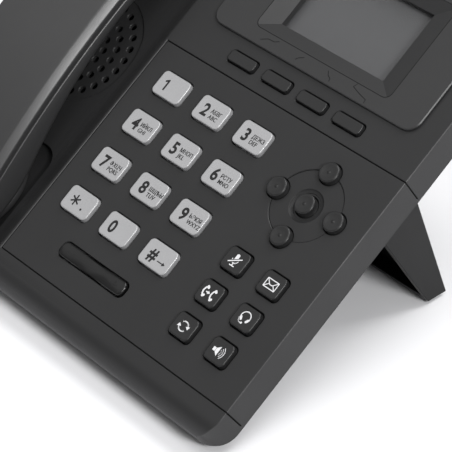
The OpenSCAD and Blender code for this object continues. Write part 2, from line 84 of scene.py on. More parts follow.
origin = (ACROSS * sum(span("key_1", ACROSS)) + UP * sum(span("key_1", UP))) / 2
origin += OUT * span("keypad_plate", OUT)[1]
FACE = Matrix.Translation(origin) @ Matrix((ACROSS, UP, OUT)).transposed().to_4x4()
FACE = FACE @ Matrix.Scale(MM, 4)
FROM_WORLD = FACE.inverted()


def extent(node):
    """Lowest and highest corner of a node in the face frame."""
    points = [FROM_WORLD @ vertex.co for vertex in frame["nodes"][node].data.vertices]
    return Vector(map(min, zip(*points))), Vector(map(max, zip(*points)))


def centre(node):
    """Middle of a node's extent in the face frame."""
    low, high = extent(node)
    return (low + high) / 2


print("deck origin in metres:", [round(x, 4) for x in origin])

# %% [markdown]
# ## Camera and light
# The camera looks down at the keypad from the user's right, close to the axis of the
# face, with a long lens that keeps the keys' rows nearly parallel. It is made first, so
# that every later step can be judged from it.

# %% Camera
AZIMUTH = math.radians(46.66)
ELEVATION = math.radians(36.63)
ROLL = math.radians(1.13)
DISTANCE = 664.0
TARGET = Vector((51.83, -28.39, 0.0))
LENS = 167.9

camera_data = bpy.data.cameras.new("camera")
camera = bpy.data.objects.new("camera", camera_data)
bpy.context.scene.collection.objects.link(camera)
bpy.context.scene.camera = camera
back = Vector((math.sin(AZIMUTH) * math.cos(ELEVATION),
               -math.cos(AZIMUTH) * math.cos(ELEVATION), math.sin(ELEVATION)))
camera_data.lens = LENS
camera_data.sensor_width = 36.0
camera.rotation_mode = "QUATERNION"
level = (-back).to_track_quat("-Z", "Y")
camera.rotation_quaternion = level @ Matrix.Rotation(ROLL, 3, "Z").to_quaternion()
camera.location = FACE @ TARGET + back * DISTANCE * MM
camera_data.clip_start, camera_data.clip_end = 0.05, 20.0
print("camera at", [round(x, 3) for x in camera.location])

# %% [markdown]
# The set is a white sheet under soft boxes. The large box on the right is the one that
# shows in every bevel that leans that way: the right edges of the keys and the long
# edge of the handset. The deck is lit by a box above and in front, and a dim one on the
# left lies where the deck mirrors it, which gives the black plastic its grey sheen.

# %% Floor, world and soft boxes
scene = bpy.context.scene
scene.view_settings.view_transform = "Standard"
scene.view_settings.look = "None"
world = bpy.data.worlds.new("studio")
scene.world = world
world.use_nodes = True
world.node_tree.nodes["Background"].inputs["Color"].default_value = (1, 1, 1, 1)
world.node_tree.nodes["Background"].inputs["Strength"].default_value = 0.34


def soft_box(name, azimuth, elevation, distance, size, watts):
    """An area light that looks at the phone's middle."""
    light = bpy.data.lights.new(name, "AREA")
    light.shape = "RECTANGLE"
    light.size, light.size_y = size
    light.energy = watts
    lamp = bpy.data.objects.new(name, light)
    scene.collection.objects.link(lamp)
    a, e = math.radians(azimuth), math.radians(elevation)
    away = Vector((math.sin(a) * math.cos(e), -math.cos(a) * math.cos(e), math.sin(e)))
    middle = (cad_box[0] + cad_box[1]) / 2
    lamp.location = middle + away * distance
    lamp.rotation_mode = "QUATERNION"
    lamp.rotation_quaternion = (-away).to_track_quat("-Z", "Y")
    return lamp


soft_box("right_box", 74, 33, 1.3, (0.36, 0.28), 13)
soft_box("front_box", 22, 72, 1.6, (1.0, 0.8), 10)
soft_box("left_box", -58, 47, 1.7, (1.1, 0.9), 2.6)
soft_box("back_box", 165, 62, 1.7, (1.2, 1.0), 26)


# %% [markdown]
# ## Shader arithmetic
# A finish is easier to read as a formula than as a web of nodes. The class below wraps
# one socket, and arithmetic on it adds the Math nodes. Every other node comes from one
# method that takes its type, its settings and its inputs.

# %% Sockets that can be added and multiplied
class Value:
    """One output socket that can be used in a formula."""

    def __init__(self, finish, socket):
        self.finish = finish
        self.socket = socket

    def math(self, operation, first, second):
        return self.finish.node("ShaderNodeMath", {"operation": operation},
                                {0: first, 1: second})

    def __add__(self, other):
        return self.math("ADD", self, other)

    def __radd__(self, other):
        return self.math("ADD", other, self)

    def __sub__(self, other):
        return self.math("SUBTRACT", self, other)

    def __rsub__(self, other):
        return self.math("SUBTRACT", other, self)

    def __mul__(self, other):
        return self.math("MULTIPLY", self, other)

    def __rmul__(self, other):
        return self.math("MULTIPLY", other, self)


class Finish:
    """A material, and the one way to add nodes to it."""

    def __init__(self, name):
        self.material = bpy.data.materials.new(name)
        self.material.use_nodes = True
        self.tree = self.material.node_tree
        self.surface = self.tree.nodes["Principled BSDF"]

    def plug(self, value, target):
        """Links a formula to an input, or writes a plain value on it."""
        if isinstance(value, Value):
            self.tree.links.new(value.socket, target)
        elif isinstance(value, tuple) and target.type == "RGBA":
            target.default_value = (*value[:3], 1.0)
        else:
            target.default_value = value

    def node(self, kind, settings=None, inputs=None, output=0):
        """A node with its settings made first, then its inputs."""
        made = self.tree.nodes.new(kind)
        for key, value in (settings or {}).items():
            if key == "stops":
                set_stops(made.color_ramp, value)
            else:
                setattr(made, key, value)
        for key, value in (inputs or {}).items():
            self.plug(value, made.inputs[key])
        return Value(self, made.outputs[output])

    def coat(self, **inputs):
        """Sets the surface's own inputs; underscores stand for spaces."""
        for key, value in inputs.items():
            self.plug(value, self.surface.inputs[key.replace("_", " ")])
        return self.material

    def place(self):
        """The piece's own coordinates, in metres."""
        return self.node("ShaderNodeTexCoord", output="Object")

    def noise(self, scale, detail=3.0, roughness=0.5):
        """Soft noise from 0 to 1; scale is in lumps per metre."""
        return self.node("ShaderNodeTexNoise", {}, {
            "Vector": self.place(), "Scale": scale, "Detail": detail,
            "Roughness": roughness})

    def mix(self, factor, first, second):
        """A colour between two colours."""
        made = self.tree.nodes.new("ShaderNodeMix")
        made.data_type = "RGBA"
        for key, value in ((0, factor), (6, first), (7, second)):
            self.plug(value, made.inputs[key])
        return Value(self, made.outputs[2])

    def bump(self, height, strength, depth):
        """A normal from a height; depth in metres."""
        return self.node("ShaderNodeBump", {}, {
            "Height": height, "Strength": strength, "Distance": depth})


def set_stops(ramp, stops):
    """Gives a colour ramp its stops: (place, grey) pairs."""
    while len(ramp.elements) < len(stops):
        ramp.elements.new(0.5)
    for element, (place, grey) in zip(ramp.elements, stops):
        element.position = place
        element.color = (grey, grey, grey, 1.0)


print("shader helpers ready")

# %% [markdown]
# ## Moulded plastic
# Nearly all of the phone is black ABS from spark-eroded moulds. Such a mould leaves a
# matt skin of tiny pits, a tenth of a millimetre across, which spreads the highlights.
# Handling polishes it in patches, and a little dust lifts the colour here and there.
# Two noises do this: a fine one for the pits and a broad one for polish and dust.


# %% One function for every grade of moulded plastic
def grey(value):
    """A neutral colour."""
    return (value, value, value * 1.02)


def moulded(name, shade, roughness, grain=0.25, lumps=5200.0, spread=0.12, sheen=0.3):
    """Textured black plastic: shade, gloss, depth and fineness of the grain."""
    finish = Finish(name)
    fine = finish.noise(lumps, 2.0, 0.55)
    broad = finish.noise(38.0, 4.0, 0.6)
    patches = finish.node("ShaderNodeValToRGB",
                          {"stops": [(0.35, 0.0), (0.65, 1.0)]}, {"Fac": broad})
    tone = finish.mix(fine, grey(shade * (1 - spread)), grey(shade * (1 + spread)))
    tone = finish.mix(patches * 0.25, tone, grey(shade * 1.18))
    return finish.coat(
        Base_Color=tone,
        Roughness=roughness + 0.08 * (fine - 0.5) - 0.05 * patches,
        Normal=finish.bump(fine, grain, 0.00006),
        Specular_IOR_Level=sheen)


HOUSING = moulded("housing_plastic", 0.020, 0.42, sheen=0.18)
PLATE = moulded("plate_plastic", 0.019, 0.41, sheen=0.18)
BEZEL = moulded("bezel_plastic", 0.022, 0.40, grain=0.15)
REAR = moulded("rear_plastic", 0.012, 0.52)
STAND = moulded("stand_plastic", 0.011, 0.45, sheen=0.12)
HANDSET = moulded("handset_plastic", 0.026, 0.38, grain=0.3, lumps=3600.0, spread=0.2,
                  sheen=0.5)
DARK_CAP = moulded("dark_cap_plastic", 0.012, 0.38, grain=0.12)
JACK_BLACK = moulded("jack_plastic", 0.016, 0.50)
print("plastics:", [m.name for m in bpy.data.materials if "plastic" in m.name])

# %% [markdown]
# ## The other finishes
# The number keys are clear caps painted silver from below the gloss: a light metallic
# grey with a soft sheen. The volume rocker is gloss black, the window is a thin clear
# sheet over a grey screen, and the small parts are steel, tin, rubber and board.


# %% Painted, glossy and clear materials
def painted(name, shade, roughness, metallic):
    """Silver paint: fine flakes that change the gloss more than the colour."""
    finish = Finish(name)
    flakes = finish.noise(7200.0, 1.0, 0.5)
    wear = finish.noise(90.0, 3.0, 0.6)
    tone = finish.mix(flakes, grey(shade * 0.94), grey(shade * 1.05))
    tone = finish.mix(wear * 0.15, tone, grey(shade * 0.88))
    return finish.coat(
        Base_Color=tone, Metallic=metallic,
        Roughness=roughness + 0.10 * (flakes - 0.5) + 0.05 * (wear - 0.5),
        Coat_Weight=0.35, Coat_Roughness=0.22,
        Normal=finish.bump(flakes, 0.08, 0.00003))


def ink_for_print_and_shade(name, shade, edge):
    """Flat ink, thinner here and there: print on the keys, and near-black painted shade for the film lines."""
    finish = Finish(name)
    thin = finish.noise(1600.0, 3.0, 0.6)
    tone = finish.mix(thin, grey(shade), grey(edge))
    return finish.coat(Base_Color=tone, Roughness=0.45 + 0.15 * thin,
                       Specular_IOR_Level=0.15,
                       Normal=finish.bump(thin, 0.1, 0.00001))


def metal(name, shade, roughness):
    """Plated or tinned metal with drawn streaks."""
    finish = Finish(name)
    stretched = finish.node("ShaderNodeMapping", {}, {
        "Vector": finish.place(), "Scale": (0.08, 1.0, 1.0)})
    lines = finish.node("ShaderNodeTexNoise", {}, {
        "Vector": stretched, "Scale": 3000.0, "Detail": 2.0})
    spots = finish.noise(150.0, 4.0, 0.6)
    tone = finish.mix(spots, grey(shade * 0.85), grey(shade))
    return finish.coat(Base_Color=tone, Metallic=1.0,
                       Roughness=roughness + 0.12 * lines + 0.08 * spots,
                       Normal=finish.bump(lines, 0.15, 0.00002))


SILVER = painted("silver_paint", 0.30, 0.36, 0.25)
INK_BLACK = ink_for_print_and_shade("black_ink", 0.010, 0.022)
INK_WHITE = ink_for_print_and_shade("white_ink", 0.62, 0.52)
STEEL = metal("plated_steel", 0.55, 0.28)
TIN = metal("tinned_shield", 0.62, 0.24)
RUBBER = moulded("grey_rubber", 0.16, 0.72, grain=0.35, lumps=2400.0)
SILICONE = moulded("silicone", 0.30, 0.6, grain=0.2)
WHITE_FRAME = moulded("backlight_frame", 0.62, 0.45, grain=0.1)
SPEAKER = moulded("speaker_paper", 0.05, 0.7, grain=0.5, lumps=1500.0)
SWITCH = moulded("switch_body", 0.04, 0.45)


def gloss(name, shade, roughness):
    """Gloss black: a clear coat that shows faint swirls in its reflections."""
    finish = Finish(name)
    swirl = finish.noise(320.0, 4.0, 0.6)
    tone = finish.mix(swirl, grey(shade * 0.8), grey(shade * 1.3))
    return finish.coat(Base_Color=tone, Roughness=roughness + 0.08 * swirl,
                       Coat_Weight=0.15, Coat_Roughness=0.1 + 0.05 * swirl,
                       Specular_IOR_Level=0.25,
                       Normal=finish.bump(swirl, 0.05, 0.00005))


GLOSS = gloss("gloss_black", 0.005, 0.26)
LAMP = gloss("lamp_red", 0.05, 0.2)


def circuit_board():
    """Green solder mask over copper tracks, which show as a finer lighter weave."""
    finish = Finish("solder_mask")
    tracks = finish.node("ShaderNodeTexBrick", {"offset": 0.5}, {
        "Vector": finish.place(), "Scale": 260.0, "Mortar Size": 0.18,
        "Color1": (0.012, 0.085, 0.035), "Color2": (0.016, 0.11, 0.045),
        "Mortar": (0.035, 0.19, 0.07)})
    worn = finish.noise(120.0)
    return finish.coat(Base_Color=tracks, Roughness=0.3 + 0.15 * worn,
                       Normal=finish.bump(worn, 0.1, 0.0001))


def screen():
    """An unlit screen: grey film with the rows and columns of its dots just visible."""
    finish = Finish("screen_glass")
    dots = finish.node("ShaderNodeTexChecker", {}, {
        "Vector": finish.place(), "Scale": 1800.0,
        "Color1": (0.0675, 0.0685, 0.0715), "Color2": (0.0665, 0.0675, 0.0705)})
    cloud = finish.noise(24.0, 2.0)
    tone = finish.mix(cloud * 0.4, dots, (0.075, 0.076, 0.079))
    return finish.coat(Base_Color=tone, Roughness=0.35 + 0.1 * cloud)


def clear_window():
    """The clear sheet over the screen: seen by its sheen, and by handling marks in it."""
    finish = Finish("clear_window")
    marks = finish.noise(60.0, 5.0, 0.65)
    return finish.coat(Base_Color=grey(0.10), Roughness=0.10 + 0.14 * marks,
                       Alpha=0.14 + 0.04 * marks, Specular_IOR_Level=0.5)


BOARD = circuit_board()
SCREEN = screen()
WINDOW = clear_window()
print("finishes made:", len(bpy.data.materials))

# %% [markdown]
# ## Which part wears which finish
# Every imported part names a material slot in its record. The table below gives each
# slot its finish, and every part starts with it, so nothing is left plain.

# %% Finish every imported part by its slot
BY_SLOT = {
    "housing": HOUSING, "nav_disc": PLATE, "bezel": BEZEL, "lens": WINDOW,
    "screen": SCREEN, "frame_white": WHITE_FRAME, "rear": REAR, "board": BOARD,
    "silicone": SILICONE, "speaker": SPEAKER, "switch": SWITCH, "jack_metal": TIN,
    "jack_plastic": JACK_BLACK, "lamp": LAMP, "steel": STEEL, "rubber": RUBBER,
    "stand": STAND, "handset": HANDSET, "number_key": SILVER,
    "function_key": DARK_CAP, "dark_key": DARK_CAP, "gloss_key": GLOSS}
record = frame["record"]
SLOT_OF = {part["node"]: part["material_slot"] for part in record["subparts"]}
BODY_OF = {node: body for body, members in record["behaviour"]["bodies"].items()
           for node in members}


def wear(item, material):
    """Gives a mesh one material."""
    item.data.materials.clear()
    item.data.materials.append(material)


for node, item in frame["nodes"].items():
    wear(item, BY_SLOT[SLOT_OF[node]])
print("parts finished:", len(frame["nodes"]))

# %% [markdown]
# ## Eased edges for the mouldings
# A moulded edge is never sharp: the tool leaves a flat of a few tenths of a millimetre
# along it, and that flat is what catches the light as a thin bright line. The next
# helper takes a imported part's own vertices, joins its facets into whole faces and eases
# the edges between them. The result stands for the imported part, on the same body.


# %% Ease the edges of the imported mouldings
def add(name, mesh, material, body):
    """Puts a mesh in the scene, on a body."""
    item = bpy.data.objects.new(name, mesh)
    scene.collection.objects.link(item)
    wear(item, material)
    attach(item, body)
    return item


def refine(node, width, leave=None, crease=None):
    """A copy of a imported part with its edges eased, shown in its place.

    leave says where edges stay as they are; a fold longer than crease, in
    millimetres, stays crisp even if it is shallow."""
    work = bmesh.new()
    work.from_mesh(frame["nodes"][node].data)
    bmesh.ops.remove_doubles(work, verts=work.verts, dist=2e-6)
    bmesh.ops.dissolve_limit(work, angle_limit=math.radians(0.6),
                             verts=work.verts, edges=work.edges)
    sharp = [edge for edge in work.edges if len(edge.link_faces) == 2
             and edge.calc_face_angle(0.0) > math.radians(28)
             and not (leave and leave(FROM_WORLD @ edge.verts[0].co))]
    bmesh.ops.bevel(work, geom=sharp, offset=width * MM, offset_type="OFFSET",
                    segments=1, profile=0.5, affect="EDGES", clamp_overlap=False)
    for face in work.faces:
        face.smooth = True
    for edge in work.edges:
        fold = edge.calc_face_angle(0.0)
        long = crease and edge.calc_length() > crease * MM
        edge.smooth = fold < math.radians(4 if long else 24)
    mesh = bpy.data.meshes.new(node + "_eased")
    work.to_mesh(mesh)
    work.free()
    item = add(node + "_eased", mesh, BY_SLOT[SLOT_OF[node]], BODY_OF[node])
    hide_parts(node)
    return item


def near_screen(point):
    """True inside the sloping frame of the screen."""
    low, high = extent("lcd_panel")
    return (low.x - 5.5 < point.x < high.x + 5.5
            and low.y - 3.5 < point.y < high.y + 3.5)


eased = {node: refine(node, width) for node, width in (
    ("front_shell", 0.22), ("keypad_plate", 0.22), ("rear_cover", 0.26),
    ("stand_bracket", 0.26), ("nav_disc", 0.12))}
eased["display_bezel"] = refine("display_bezel", 0.32, near_screen, 6.0)
print("eased:", {name: len(item.data.polygons) for name, item in eased.items()})


# %% [markdown]
# ## Rings and lofts
# Caps, buttons and the handset are all stacks of outlines. One helper gives a rounded
# rectangle with a fixed number of points, another skins a list of such rings, and both
# work in the face frame, so a cap is described by its widths and its heights.

# %% Outline and skin helpers
def outline(width, length, radius, steps=8):
    """Points round a rounded rectangle, the same number whatever its size."""
    radius = max(min(radius, width / 2 - 1e-3, length / 2 - 1e-3), 1e-3)
    points = []
    for corner, (sx, sy) in enumerate(((1, 1), (-1, 1), (-1, -1), (1, -1))):
        for step in range(steps + 1):
            turn = math.radians(90 * corner + 90 * step / steps)
            points.append((sx * (width / 2 - radius) + radius * math.cos(turn),
                           sy * (length / 2 - radius) + radius * math.sin(turn)))
    return points


def walls(rings):
    """A mesh with a wall from each ring to the next; returns it and its rings."""
    work = bmesh.new()
    made = [[work.verts.new(FACE @ Vector(p)) for p in ring] for ring in rings]
    count = len(made[0])
    for low, high in zip(made, made[1:]):
        for k in range(count):
            work.faces.new((low[k], low[(k + 1) % count],
                            high[(k + 1) % count], high[k]))
    return work, made


def settle(work, name):
    """Merges what touches, turns the faces outward and shades the mesh smooth."""
    bmesh.ops.remove_doubles(work, verts=work.verts, dist=1e-7)
    bmesh.ops.recalc_face_normals(work, faces=work.faces)
    mesh = bpy.data.meshes.new(name)
    work.to_mesh(mesh)
    work.free()
    mesh.shade_smooth()
    return mesh


def skin(name, rings, material, body):
    """Joins rings of points, closes both ends and puts the mesh on a body."""
    work, made = walls(rings)
    count = len(made[0])
    for ring in (made[0], made[-1]):
        hub = work.verts.new(sum((v.co for v in ring), Vector()) / count)
        for k in range(count):
            work.faces.new((ring[k], ring[(k + 1) % count], hub))
    return add(name, settle(work, name), material, body)


def stack(middle, levels):
    """Rings centred on a point: (width, length, radius, height) for each level."""
    return [[(middle[0] + x, middle[1] + y, n) for x, y in outline(w, l, r)]
            for w, l, r, n in levels]


def sides(width, length, radius, steps=8, along=24):
    """A rounded rectangle with extra points on its two long sides.

    It starts like outline(), and the extra points are spread down the left side and up
    the right one, or along the top and bottom if the shape is wider than it is long."""
    turned_round = width > length
    if turned_round:
        width, length = length, width
    points = outline(width, length, radius, steps)
    half = 2 * (steps + 1)
    reach = length / 2 - radius
    run = [reach - 2 * reach * k / (along + 1) for k in range(1, along + 1)]
    left = [(-width / 2, y) for y in run]
    right = [(width / 2, -y) for y in run]
    points = points[:half] + left + points[half:] + right
    if turned_round:
        points = [(y, -x) for x, y in points]
    return points


def skin_across(name, rings, material, body, steps=8, ends=(True, True)):
    """Like skin(), for rings from sides(): the ends close straight across the shape."""
    work, made = walls(rings)
    count = len(made[0])
    half = 2 * (steps + 1)
    chain = list(range(count - (count - half) // 2, count)) + list(range(steps + 1))
    for wanted, ring in zip(ends, (made[0], made[-1])):
        for a, b in zip(chain, chain[1:]):
            if wanted:
                pair = [half - 1 - k if k < half else half + count - 1 - k
                        for k in (b, a)]
                work.faces.new((ring[a], ring[b], ring[pair[0]], ring[pair[1]]))
    return add(name, settle(work, name), material, body)


print("a ring has", len(outline(13, 9, 2)), "points")

# %% [markdown]
# ## The button caps
# A cap drops through the plate from below, where a flange holds it. Above the deck it
# has upright sides, a soft shoulder and a top dished by a tenth of a millimetre so that
# the finger finds its middle. The shoulder is what shines along the right-hand edges.


# %% Rectangular caps
FLANGE = 0.9


def cap(node, radius, shoulder, dish, draft=0.3, lower=0.0):
    """A rounded cap in place of a packed key; returns its middle, size and top."""
    low, high = extent(node)
    middle = ((low.x + high.x) / 2, (low.y + high.y) / 2)
    width, length = high.x - low.x - 2 * FLANGE, high.y - low.y - 2 * FLANGE
    top = high.z - lower
    levels = [(high.x - low.x, high.y - low.y, radius, low.z),
              (high.x - low.x, high.y - low.y, radius, low.z + 1.0),
              (width, length, radius, low.z + 1.01),
              (width - 0.1, length - 0.1, radius, 0.0),
              (width - draft, length - draft, radius, top - shoulder)]
    for turn in (22, 45, 68, 90):
        inset = draft + 2 * shoulder * (1 - math.cos(math.radians(turn)))
        rise = shoulder * math.sin(math.radians(turn))
        levels.append((width - inset, length - inset, radius - inset / 2,
                       top - shoulder + rise))
    flat_w, flat_l = width - draft - 2 * shoulder, length - draft - 2 * shoulder

    def surface(x, y):
        u = min(abs(x - middle[0]) / (flat_w / 2), 1.0)
        v = min(abs(y - middle[1]) / (flat_l / 2), 1.0)
        return top - dish * (1 - u * u) * (1 - v * v)

    rings = stack(middle, levels)
    for share in (0.97, 0.85, 0.65, 0.4, 0.2):
        rings.append([(x, y, surface(x, y)) for x, y in (
            (middle[0] + a, middle[1] + b) for a, b in outline(
                flat_w * share, flat_l * share, (radius - shoulder) * share))])
    slot = SLOT_OF[node]
    item = skin(node + "_cap_top", rings, BY_SLOT[slot], BODY_OF[node])
    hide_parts(node)
    return middle, (width, length), surface


NUMBER_KEYS = ["key_" + name for name in
               ("1", "2", "3", "4", "5", "6", "7", "8", "9", "star", "0", "hash")]
FUNCTION_KEYS = [name + "_key" for name in
                 ("mute", "message", "transfer", "headset", "redial", "speaker")]
SOFT_KEYS = ["soft_key_%d" % k for k in (1, 2, 3, 4)]
caps = {node: cap(node, 1.8, 0.34, 0.08, 0.2, 0.65) for node in NUMBER_KEYS}
caps.update({node: cap(node, 1.7, 0.45, 0.08) for node in FUNCTION_KEYS})
caps.update({node: cap(node, 1.3, 0.30, 0.04) for node in SOFT_KEYS})
print("caps:", len(caps), "number key size:", [round(x, 2) for x in caps["key_1"][1]])

# %% [markdown]
# The five round buttons are turned shapes: a steep side, a rolled rim and a shallow
# dish with a tiny pip in the middle from the gate of the mould.


# %% Round navigation buttons
def turned(node, profile, steps=48):
    """A lathed button in place of a packed one; profile is (radius, height) pairs."""
    low, high = extent(node)
    x, y = (low.x + high.x) / 2, (low.y + high.y) / 2
    rings = [[(x + r * math.cos(2 * math.pi * k / steps),
               y + r * math.sin(2 * math.pi * k / steps), n) for k in range(steps)]
             for r, n in profile]
    slot = SLOT_OF[node]
    item = skin(node + "_turned", rings, BY_SLOT[slot], BODY_OF[node])
    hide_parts(node)
    return item


NAV_PROFILE = [(4.5, -3.3), (4.5, -2.3), (3.6, -2.29), (3.6, 1.05), (3.56, 1.3),
               (3.42, 1.52), (3.2, 1.66), (2.95, 1.70), (2.6, 1.66), (2.1, 1.57),
               (1.5, 1.50), (0.9, 1.47), (0.42, 1.46), (0.36, 1.52), (0.2, 1.54)]
for node in ("nav_up", "nav_down", "nav_left", "nav_right", "nav_ok"):
    turned(node, NAV_PROFILE)
print("round buttons turned")

# %% [markdown]
# The volume rocker is one long gloss cap that rocks about its middle. Its face is a
# shallow trough along its length, so it holds one long highlight.


# %% Volume rocker
def rocker():
    """The rocker's cap, hollowed along its length; returns its middle and surface."""
    x, y = centre("volume_rocker").xy
    width, length = 31.0, 5.3
    top = extent("volume_rocker")[1].z

    def surface(px, py):
        hollow = 1.15 * math.exp(-((px - x) / 8.0) ** 2)
        crown = 0.10 * ((py - y) / (length / 2)) ** 2
        return top - hollow - crown

    rings = [[(x + a, y + b, n) for a, b in sides(width, length, 2.0)]
             for n in (-2.9, 0.0)]
    for inset, drop in ((0.0, 0.55), (0.1, 0.3), (0.3, 0.1), (0.6, 0.0)):
        rings.append([(x + a, y + b, surface(x + a, y + b) - drop) for a, b in sides(
            width - 2 * inset, length - 2 * inset, 2.0 - inset)])
    item = skin_across("volume_rocker_cap_top", rings, GLOSS,
                       BODY_OF["volume_rocker"])
    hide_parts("volume_rocker")
    return (x, y), surface


volume_middle, volume_surface = rocker()
print("volume rocker at", [round(x, 2) for x in volume_middle])

# %% [markdown]
# ## The handset
# The handset is one long arch. Its two shells meet at a line just under a wide chamfer
# that runs all round the top; the chamfer is the brightest edge of the phone. Each
# shell is a stack of outlines, bent by two formulas: the arch of the back, and the
# tighter arch under the grip.

# %% Handset shells
shell_low, shell_high = extent("handset_upper_shell")
body_low, body_high = extent("handset_lower_shell")
HS_X = (shell_low.x + shell_high.x) / 2
HS_V = (shell_low.y + shell_high.y) / 2
HS_W = shell_high.x - shell_low.x
HS_L = shell_high.y - shell_low.y
HS_TOP = shell_high.z
HS_PAD = body_low.z
BACK_RADIUS = 364.0
GRIP_RADIUS = 163.0
GRIP_TOP = 6.6
CORNER = 15.0


def back_arch(v):
    """Height of the handset's back."""
    return HS_TOP - BACK_RADIUS + math.sqrt(BACK_RADIUS ** 2 - (v - HS_V) ** 2)


def grip_arch(v):
    """Height of the underside, which runs flat into the two ends."""
    free = GRIP_TOP - GRIP_RADIUS + math.sqrt(GRIP_RADIUS ** 2 - (v - HS_V) ** 2)
    soft = 1.6
    floor = HS_PAD + 0.7
    return floor + soft * math.log1p(math.exp((free - floor) / soft))


def arch_ring(inset, height):
    """One outline of the handset; height is a function of v."""
    ring = sides(HS_W - 2 * inset, HS_L - 2 * inset, max(CORNER - inset, 1.0), 12, 60)
    return [(HS_X + a, HS_V + b, height(HS_V + b)) for a, b in ring]


upper = [arch_ring(0.9, lambda v: back_arch(v) - 5.3),
         arch_ring(0.40, lambda v: back_arch(v) - 5.1),
         arch_ring(0.30, lambda v: back_arch(v) - 4.9),
         arch_ring(0.05, lambda v: back_arch(v) - 3.5)]
for inset, depth in ((0.0, 2.75), (0.04, 2.5), (0.14, 2.28), (0.30, 2.1),
                     (2.10, 0.30), (2.28, 0.15), (2.50, 0.05), (2.75, 0.0),
                     (3.6, 0.0), (7.0, 0.0)):
    upper.append(arch_ring(inset, lambda v, d=depth: back_arch(v) - d))
back_shell = skin_across("handset_back", upper, HANDSET, "handset", 12,
                         (False, True))
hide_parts("handset_upper_shell")

lower = [arch_ring(0.9, lambda v: back_arch(v) - 5.0),
         arch_ring(0.32, lambda v: back_arch(v) - 5.02),
         arch_ring(0.05, lambda v: back_arch(v) - 5.3),
         arch_ring(0.0, lambda v: back_arch(v) - 5.5)]
for turn in range(0, 91, 10):
    c, s = math.cos(math.radians(turn)), math.sin(math.radians(turn))
    lower.append(arch_ring(9.0 * (1 - c), lambda v, q=s: (
        grip_arch(v) + 5.2 * (1 - q))))
lower.append(arch_ring(12.0, grip_arch))
belly = skin_across("handset_body", lower, HANDSET, "handset", 12)
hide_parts("handset_lower_shell")
print("handset rings:", len(upper), "over", len(lower))

# %% [markdown]
# Round pads close the two ends: the larger ring of holes is for the receiver, three
# holes for the microphone. They are what shows when the handset is lifted and turned.


# %% Ear and mouth pads
def pierced(item, places, radius, depth):
    """Cuts small round holes into a mesh along the face's axis."""
    work = bmesh.new()
    for x, y, n in places:
        rings = [[work.verts.new(FACE @ Vector((
            x + radius * math.cos(math.tau * k / 16),
            y + radius * math.sin(math.tau * k / 16), n + h))) for k in range(16)]
            for h in (-1.0, depth)]
        for k in range(16):
            work.faces.new((rings[0][k], rings[0][(k + 1) % 16],
                            rings[1][(k + 1) % 16], rings[1][k]))
        work.faces.new(rings[0])
        work.faces.new(rings[1])
    bmesh.ops.recalc_face_normals(work, faces=work.faces)
    mesh = bpy.data.meshes.new("cutter")
    work.to_mesh(mesh)
    work.free()
    cutter = bpy.data.objects.new("cutter", mesh)
    scene.collection.objects.link(cutter)
    cut = item.modifiers.new("holes", "BOOLEAN")
    cut.object = cutter
    cut.solver = "EXACT"
    bpy.context.view_layer.update()
    graph = bpy.context.evaluated_depsgraph_get()
    done = bpy.data.meshes.new_from_object(item.evaluated_get(graph))
    item.modifiers.clear()
    item.data = done
    bpy.data.objects.remove(cutter)
    return item


def pad(name, v, holes, radius):
    """A round pad under one end of the handset."""
    profile = [(17.0, HS_PAD + 4.0), (19.4, HS_PAD + 4.0), (19.6, HS_PAD + 1.0),
               (19.4, HS_PAD + 0.45), (19.0, HS_PAD + 0.1), (18.4, HS_PAD),
               (16.8, HS_PAD), (16.2, HS_PAD + 0.12), (14.0, HS_PAD + 0.5),
               (9.0, HS_PAD + 0.75), (4.0, HS_PAD + 0.85), (0.5, HS_PAD + 0.88)]
    rings = [[(HS_X + r * math.cos(math.tau * k / 72),
               v + r * math.sin(math.tau * k / 72), n) for k in range(72)]
             for r, n in profile]
    item = skin(name, rings, HANDSET, "handset")
    item = pierced(item, [(HS_X + x, v + y, HS_PAD) for x, y in holes], radius, 3.0)
    wear(item, HANDSET)
    return item


ring_of_six = [(6 * math.cos(math.radians(60 * k)), 6 * math.sin(math.radians(60 * k)))
               for k in range(6)]
pad("ear_pad", 91.0, [(0.0, 0.0)] + ring_of_six, 1.0)
pad("mouth_pad", -61.0, [(-5.0, 0.0), (0.0, 0.0), (5.0, 0.0)], 0.9)
print("pads pierced")

# %% [markdown]
# ## Printing on the caps
# The number keys are printed in black: a bold numeral on the left, and beside it two
# short lines of telephone letters, Cyrillic over Latin. The ink lies on the cap and
# follows its dish. A print is a flat drawing in millimetres about the cap's middle,
# laid a hundredth of a millimetre above the surface.


